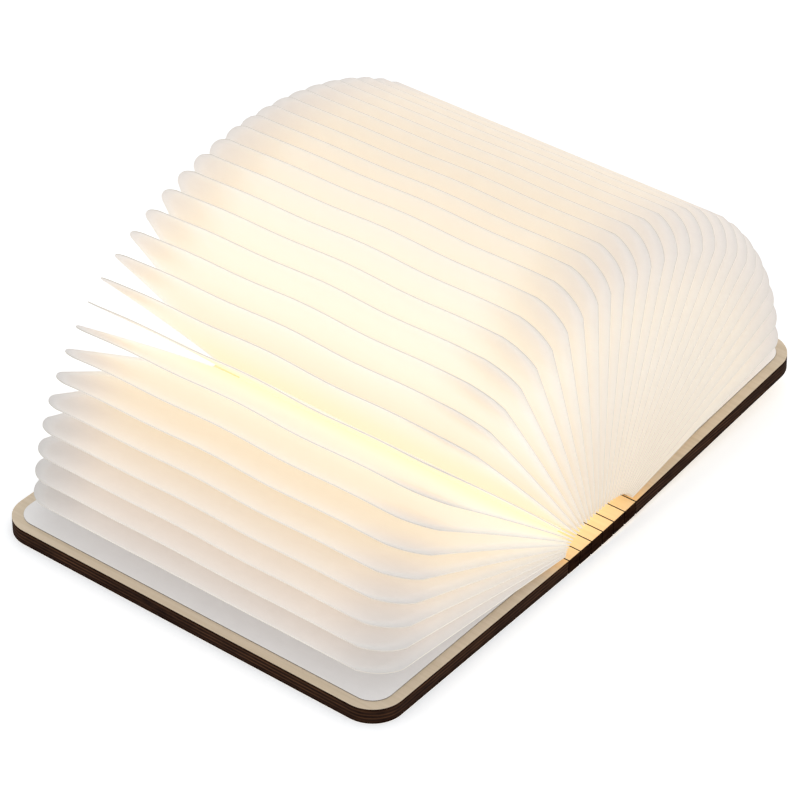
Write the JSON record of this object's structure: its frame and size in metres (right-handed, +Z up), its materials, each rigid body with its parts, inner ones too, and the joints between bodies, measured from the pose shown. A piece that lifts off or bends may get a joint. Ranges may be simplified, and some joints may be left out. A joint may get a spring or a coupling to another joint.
{
  "type": "folding book lamp",
  "caption": "Table lamp shaped like an open book: thin wooden covers, a slatted folding spine and a fan of glowing paper leaves that closes flat.",
  "frame": {"origin": "centre of the bounding box of the opened lamp, on the table that it lies on", "axes": "+X across the open covers, from the left cover to the right one; +Y along the spine, to the end with the charging socket; +Z up"},
  "size_m": [0.1808, 0.122, 0.0848],
  "materials": {
    "maple_face": "satin",
    "burnt_core": "matte",
    "slat_wood": "satin",
    "leaf_paper": "matte",
    "endpaper": "matte",
    "cloth": "matte",
    "strip_copper": "matte",
    "led_face": "matte",
    "wire_red": "satin",
    "cell_foil": "satin",
    "board_green": "satin",
    "socket_steel": "satin",
    "reed_glass": "gloss",
    "magnet_nickel": "polished"
  },
  "bodies": {
    "left_cover": {"left_outer_ply": "maple_face", "left_core": "burnt_core", "left_inner_ply": "maple_face", "left_endpaper": "endpaper", "hinge_cloth": "cloth", "light_lead": "wire_red", "battery": "cell_foil", "battery_wires": "wire_red", "control_board": "board_green", "charging_socket": "socket_steel", "reed_switch": "reed_glass"},
    "slat_1": {"slat_1": "slat_wood"},
    "slat_2": {"slat_2": "slat_wood"},
    "slat_3": {"slat_3": "slat_wood", "light_strip": "strip_copper", "leds": "led_face"},
    "slat_4": {"slat_4": "slat_wood"},
    "slat_5": {"slat_5": "slat_wood"},
    "slat_6": {"slat_6": "slat_wood"},
    "right_cover": {"right_outer_ply": "maple_face", "right_core": "burnt_core", "right_inner_ply": "maple_face", "right_endpaper": "endpaper", "magnet": "magnet_nickel"},
    "leaf_01": {"leaf_01": "leaf_paper"},
    "leaf_02": {"leaf_02": "leaf_paper"},
    "leaf_03": {"leaf_03": "leaf_paper"},
    "leaf_04": {"leaf_04": "leaf_paper"},
    "leaf_05": {"leaf_05": "leaf_paper"},
    "leaf_06": {"leaf_06": "leaf_paper"},
    "leaf_07": {"leaf_07": "leaf_paper"},
    "leaf_08": {"leaf_08": "leaf_paper"},
    "leaf_09": {"leaf_09": "leaf_paper"},
    "leaf_10": {"leaf_10": "leaf_paper"},
    "leaf_11": {"leaf_11": "leaf_paper"},
    "leaf_12": {"leaf_12": "leaf_paper"},
    "leaf_13": {"leaf_13": "leaf_paper"},
    "leaf_14": {"leaf_14": "leaf_paper"},
    "leaf_15": {"leaf_15": "leaf_paper"},
    "leaf_16": {"leaf_16": "leaf_paper"},
    "leaf_17": {"leaf_17": "leaf_paper"},
    "leaf_18": {"leaf_18": "leaf_paper"},
    "leaf_19": {"leaf_19": "leaf_paper"},
    "leaf_20": {"leaf_20": "leaf_paper"},
    "leaf_21": {"leaf_21": "leaf_paper"},
    "leaf_22": {"leaf_22": "leaf_paper"},
    "leaf_23": {"leaf_23": "leaf_paper"},
    "leaf_24": {"leaf_24": "leaf_paper"},
    "leaf_25": {"leaf_25": "leaf_paper"},
    "leaf_26": {"leaf_26": "leaf_paper"},
    "leaf_27": {"leaf_27": "leaf_paper"},
    "leaf_28": {"leaf_28": "leaf_paper"},
    "leaf_29": {"leaf_29": "leaf_paper"},
    "leaf_30": {"leaf_30": "leaf_paper"},
    "leaf_31": {"leaf_31": "leaf_paper"},
    "leaf_32": {"leaf_32": "leaf_paper"},
    "leaf_33": {"leaf_33": "leaf_paper"},
    "leaf_34": {"leaf_34": "leaf_paper"},
    "leaf_35": {"leaf_35": "leaf_paper"},
    "leaf_36": {"leaf_36": "leaf_paper"}
  },
  "joints": [
    {"name": "spine_hinge_1", "type": "hinge", "parent": "left_cover", "child": "slat_1", "pos_m": [-0.01444, 0, 0.0044], "axis": [0, -1, 0], "range_deg": [-0.66, 25.06], "deforming": ["hinge_cloth", "light_lead"]},
    {"name": "spine_hinge_2", "type": "hinge", "parent": "slat_1", "child": "slat_2", "pos_m": [-0.00964, 0, 0.00446], "axis": [0, -1, 0], "range_deg": [-0.66, 25.06]},
    {"name": "spine_hinge_3", "type": "hinge", "parent": "slat_2", "child": "slat_3", "pos_m": [-0.00484, 0, 0.00457], "axis": [0, -1, 0], "range_deg": [-0.66, 25.06]},
    {"name": "spine_hinge_4", "type": "hinge", "parent": "slat_3", "child": "slat_4", "pos_m": [-0.00004, 0, 0.00473], "axis": [0, -1, 0], "range_deg": [-0.66, 25.06]},
    {"name": "spine_hinge_5", "type": "hinge", "parent": "slat_4", "child": "slat_5", "pos_m": [0.00475, 0, 0.00495], "axis": [0, -1, 0], "range_deg": [-0.66, 25.06]},
    {"name": "spine_hinge_6", "type": "hinge", "parent": "slat_5", "child": "slat_6", "pos_m": [0.00954, 0, 0.00523], "axis": [0, -1, 0], "range_deg": [-0.66, 25.06]},
    {"name": "spine_hinge_7", "type": "hinge", "parent": "slat_6", "child": "right_cover", "pos_m": [0.01433, 0, 0.00556], "axis": [0, -1, 0], "range_deg": [-0.66, 25.06]},
    {"name": "leaf_hinge_01", "type": "hinge", "parent": "left_cover", "child": "leaf_01", "pos_m": [-0.01173, 0, -0.00131], "axis": [0, -1, 0], "range_deg": [-0.16, 6.1]},
    {"name": "leaf_hinge_02", "type": "hinge", "parent": "left_cover", "child": "leaf_02", "pos_m": [-0.01335, 0, 0.00072], "axis": [0, -1, 0], "range_deg": [-0.28, 10.76]},
    {"name": "leaf_hinge_03", "type": "hinge", "parent": "left_cover", "child": "leaf_03", "pos_m": [-0.01397, 0, 0.00147], "axis": [0, -1, 0], "range_deg": [-0.41, 15.44]},
    {"name": "leaf_hinge_04", "type": "hinge", "parent": "left_cover", "child": "leaf_04", "pos_m": [-0.01426, 0, 0.00185], "axis": [0, -1, 0], "range_deg": [-0.53, 20.15]},
    {"name": "leaf_hinge_05", "type": "hinge", "parent": "left_cover", "child": "leaf_05", "pos_m": [-0.01438, 0, 0.00208], "axis": [0, -1, 0], "range_deg": [-0.66, 24.89]},
    {"name": "leaf_hinge_06", "type": "hinge", "parent": "left_cover", "child": "leaf_06", "pos_m": [-0.01439, 0, 0.00224], "axis": [0, -1, 0], "range_deg": [-0.78, 29.66]},
    {"name": "leaf_hinge_07", "type": "hinge", "parent": "left_cover", "child": "leaf_07", "pos_m": [-0.01433, 0, 0.00238], "axis": [0, -1, 0], "range_deg": [-0.91, 34.45]},
    {"name": "leaf_hinge_08", "type": "hinge", "parent": "left_cover", "child": "leaf_08", "pos_m": [-0.0142, 0, 0.0025], "axis": [0, -1, 0], "range_deg": [-1.03, 39.27]},
    {"name": "leaf_hinge_09", "type": "hinge", "parent": "left_cover", "child": "leaf_09", "pos_m": [-0.01402, 0, 0.00262], "axis": [0, -1, 0], "range_deg": [-1.16, 44.09]},
    {"name": "leaf_hinge_10", "type": "hinge", "parent": "left_cover", "child": "leaf_10", "pos_m": [-0.01379, 0, 0.00275], "axis": [0, -1, 0], "range_deg": [-1.28, 48.92]},
    {"name": "leaf_hinge_11", "type": "hinge", "parent": "left_cover", "child": "leaf_11", "pos_m": [-0.01351, 0, 0.0029], "axis": [0, -1, 0], "range_deg": [-1.41, 53.74]},
    {"name": "leaf_hinge_12", "type": "hinge", "parent": "left_cover", "child": "leaf_12", "pos_m": [-0.0132, 0, 0.00306], "axis": [0, -1, 0], "range_deg": [-1.54, 58.52]},
    {"name": "leaf_hinge_13", "type": "hinge", "parent": "left_cover", "child": "leaf_13", "pos_m": [-0.01286, 0, 0.00323], "axis": [0, -1, 0], "range_deg": [-1.66, 63.26]},
    {"name": "leaf_hinge_14", "type": "hinge", "parent": "left_cover", "child": "leaf_14", "pos_m": [-0.01248, 0, 0.00342], "axis": [0, -1, 0], "range_deg": [-1.78, 67.92]},
    {"name": "leaf_hinge_15", "type": "hinge", "parent": "left_cover", "child": "leaf_15", "pos_m": [-0.01208, 0, 0.00362], "axis": [0, -1, 0], "range_deg": [-1.9, 72.48]},
    {"name": "leaf_hinge_16", "type": "hinge", "parent": "left_cover", "child": "leaf_16", "pos_m": [-0.01165, 0, 0.00384], "axis": [0, -1, 0], "range_deg": [-2.02, 76.93]},
    {"name": "leaf_hinge_17", "type": "hinge", "parent": "left_cover", "child": "leaf_17", "pos_m": [-0.01121, 0, 0.00406], "axis": [0, -1, 0], "range_deg": [-2.13, 81.26]},
    {"name": "leaf_hinge_18", "type": "hinge", "parent": "left_cover", "child": "leaf_18", "pos_m": [-0.01074, 0, 0.0043], "axis": [0, -1, 0], "range_deg": [-2.24, 85.48]},
    {"name": "leaf_hinge_19", "type": "hinge", "parent": "right_cover", "child": "leaf_19", "pos_m": [0.01061, 0, 0.00529], "axis": [0, 1, 0], "range_deg": [-2.27, 86.4]},
    {"name": "leaf_hinge_20", "type": "hinge", "parent": "right_cover", "child": "leaf_20", "pos_m": [0.01108, 0, 0.00515], "axis": [0, 1, 0], "range_deg": [-2.17, 82.6]},
    {"name": "leaf_hinge_21", "type": "hinge", "parent": "right_cover", "child": "leaf_21", "pos_m": [0.01152, 0, 0.00503], "axis": [0, 1, 0], "range_deg": [-2.07, 78.75]},
    {"name": "leaf_hinge_22", "type": "hinge", "parent": "right_cover", "child": "leaf_22", "pos_m": [0.01195, 0, 0.00493], "axis": [0, 1, 0], "range_deg": [-1.96, 74.82]},
    {"name": "leaf_hinge_23", "type": "hinge", "parent": "right_cover", "child": "leaf_23", "pos_m": [0.01235, 0, 0.00483], "axis": [0, 1, 0], "range_deg": [-1.86, 70.78]},
    {"name": "leaf_hinge_24", "type": "hinge", "parent": "right_cover", "child": "leaf_24", "pos_m": [0.01273, 0, 0.00475], "axis": [0, 1, 0], "range_deg": [-1.75, 66.61]},
    {"name": "leaf_hinge_25", "type": "hinge", "parent": "right_cover", "child": "leaf_25", "pos_m": [0.01308, 0, 0.00466], "axis": [0, 1, 0], "range_deg": [-1.64, 62.29]},
    {"name": "leaf_hinge_26", "type": "hinge", "parent": "right_cover", "child": "leaf_26", "pos_m": [0.01341, 0, 0.00458], "axis": [0, 1, 0], "range_deg": [-1.52, 57.82]},
    {"name": "leaf_hinge_27", "type": "hinge", "parent": "right_cover", "child": "leaf_27", "pos_m": [0.01369, 0, 0.00449], "axis": [0, 1, 0], "range_deg": [-1.4, 53.18]},
    {"name": "leaf_hinge_28", "type": "hinge", "parent": "right_cover", "child": "leaf_28", "pos_m": [0.01394, 0, 0.00439], "axis": [0, 1, 0], "range_deg": [-1.27, 48.38]},
    {"name": "leaf_hinge_29", "type": "hinge", "parent": "right_cover", "child": "leaf_29", "pos_m": [0.01415, 0, 0.00429], "axis": [0, 1, 0], "range_deg": [-1.14, 43.41]},
    {"name": "leaf_hinge_30", "type": "hinge", "parent": "right_cover", "child": "leaf_30", "pos_m": [0.0143, 0, 0.00415], "axis": [0, 1, 0], "range_deg": [-1.01, 38.28]},
    {"name": "leaf_hinge_31", "type": "hinge", "parent": "right_cover", "child": "leaf_31", "pos_m": [0.0144, 0, 0.00399], "axis": [0, 1, 0], "range_deg": [-0.87, 33.02]},
    {"name": "leaf_hinge_32", "type": "hinge", "parent": "right_cover", "child": "leaf_32", "pos_m": [0.01443, 0, 0.00377], "axis": [0, 1, 0], "range_deg": [-0.73, 27.62]},
    {"name": "leaf_hinge_33", "type": "hinge", "parent": "right_cover", "child": "leaf_33", "pos_m": [0.01436, 0, 0.00344], "axis": [0, 1, 0], "range_deg": [-0.58, 22.11]},
    {"name": "leaf_hinge_34", "type": "hinge", "parent": "right_cover", "child": "leaf_34", "pos_m": [0.01413, 0, 0.00292], "axis": [0, 1, 0], "range_deg": [-0.44, 16.52]},
    {"name": "leaf_hinge_35", "type": "hinge", "parent": "right_cover", "child": "leaf_35", "pos_m": [0.01356, 0, 0.00185], "axis": [0, 1, 0], "range_deg": [-0.29, 10.88]},
    {"name": "leaf_hinge_36", "type": "hinge", "parent": "right_cover", "child": "leaf_36", "pos_m": [0.01165, 0, -0.0015], "axis": [0, 1, 0], "range_deg": [-0.14, 5.2]}
  ],
  "couplings": [
    {"joint": "spine_hinge_2", "follows": "spine_hinge_1", "ratio": 1},
    {"joint": "spine_hinge_3", "follows": "spine_hinge_1", "ratio": 1},
    {"joint": "spine_hinge_4", "follows": "spine_hinge_1", "ratio": 1},
    {"joint": "spine_hinge_5", "follows": "spine_hinge_1", "ratio": 1},
    {"joint": "spine_hinge_6", "follows": "spine_hinge_1", "ratio": 1},
    {"joint": "spine_hinge_7", "follows": "spine_hinge_1", "ratio": 1},
    {"joint": "leaf_hinge_01", "follows": "spine_hinge_1", "ratio": 0.24344},
    {"joint": "leaf_hinge_02", "follows": "spine_hinge_1", "ratio": 0.4292},
    {"joint": "leaf_hinge_03", "follows": "spine_hinge_1", "ratio": 0.61612},
    {"joint": "leaf_hinge_04", "follows": "spine_hinge_1", "ratio": 0.80419},
    {"joint": "leaf_hinge_05", "follows": "spine_hinge_1", "ratio": 0.9934},
    {"joint": "leaf_hinge_06", "follows": "spine_hinge_1", "ratio": 1.1837},
    {"joint": "leaf_hinge_07", "follows": "spine_hinge_1", "ratio": 1.375},
    {"joint": "leaf_hinge_08", "follows": "spine_hinge_1", "ratio": 1.5671},
    {"joint": "leaf_hinge_09", "follows": "spine_hinge_1", "ratio": 1.7597},
    {"joint": "leaf_hinge_10", "follows": "spine_hinge_1", "ratio": 1.9524},
    {"joint": "leaf_hinge_11", "follows": "spine_hinge_1", "ratio": 2.1446},
    {"joint": "leaf_hinge_12", "follows": "spine_hinge_1", "ratio": 2.3356},
    {"joint": "leaf_hinge_13", "follows": "spine_hinge_1", "ratio": 2.5245},
    {"joint": "leaf_hinge_14", "follows": "spine_hinge_1", "ratio": 2.7105},
    {"joint": "leaf_hinge_15", "follows": "spine_hinge_1", "ratio": 2.8926},
    {"joint": "leaf_hinge_16", "follows": "spine_hinge_1", "ratio": 3.0701},
    {"joint": "leaf_hinge_17", "follows": "spine_hinge_1", "ratio": 3.2429},
    {"joint": "leaf_hinge_18", "follows": "spine_hinge_1", "ratio": 3.4114},
    {"joint": "leaf_hinge_19", "follows": "spine_hinge_1", "ratio": 3.4479},
    {"joint": "leaf_hinge_20", "follows": "spine_hinge_1", "ratio": 3.2965},
    {"joint": "leaf_hinge_21", "follows": "spine_hinge_1", "ratio": 3.1428},
    {"joint": "leaf_hinge_22", "follows": "spine_hinge_1", "ratio": 2.9858},
    {"joint": "leaf_hinge_23", "follows": "spine_hinge_1", "ratio": 2.8245},
    {"joint": "leaf_hinge_24", "follows": "spine_hinge_1", "ratio": 2.658},
    {"joint": "leaf_hinge_25", "follows": "spine_hinge_1", "ratio": 2.4859},
    {"joint": "leaf_hinge_26", "follows": "spine_hinge_1", "ratio": 2.3074},
    {"joint": "leaf_hinge_27", "follows": "spine_hinge_1", "ratio": 2.1223},
    {"joint": "leaf_hinge_28", "follows": "spine_hinge_1", "ratio": 1.9306},
    {"joint": "leaf_hinge_29", "follows": "spine_hinge_1", "ratio": 1.7324},
    {"joint": "leaf_hinge_30", "follows": "spine_hinge_1", "ratio": 1.5278},
    {"joint": "leaf_hinge_31", "follows": "spine_hinge_1", "ratio": 1.3175},
    {"joint": "leaf_hinge_32", "follows": "spine_hinge_1", "ratio": 1.1021},
    {"joint": "leaf_hinge_33", "follows": "spine_hinge_1", "ratio": 0.88238},
    {"joint": "leaf_hinge_34", "follows": "spine_hinge_1", "ratio": 0.65934},
    {"joint": "leaf_hinge_35", "follows": "spine_hinge_1", "ratio": 0.43401},
    {"joint": "leaf_hinge_36", "follows": "spine_hinge_1", "ratio": 0.20753}
  ]
}
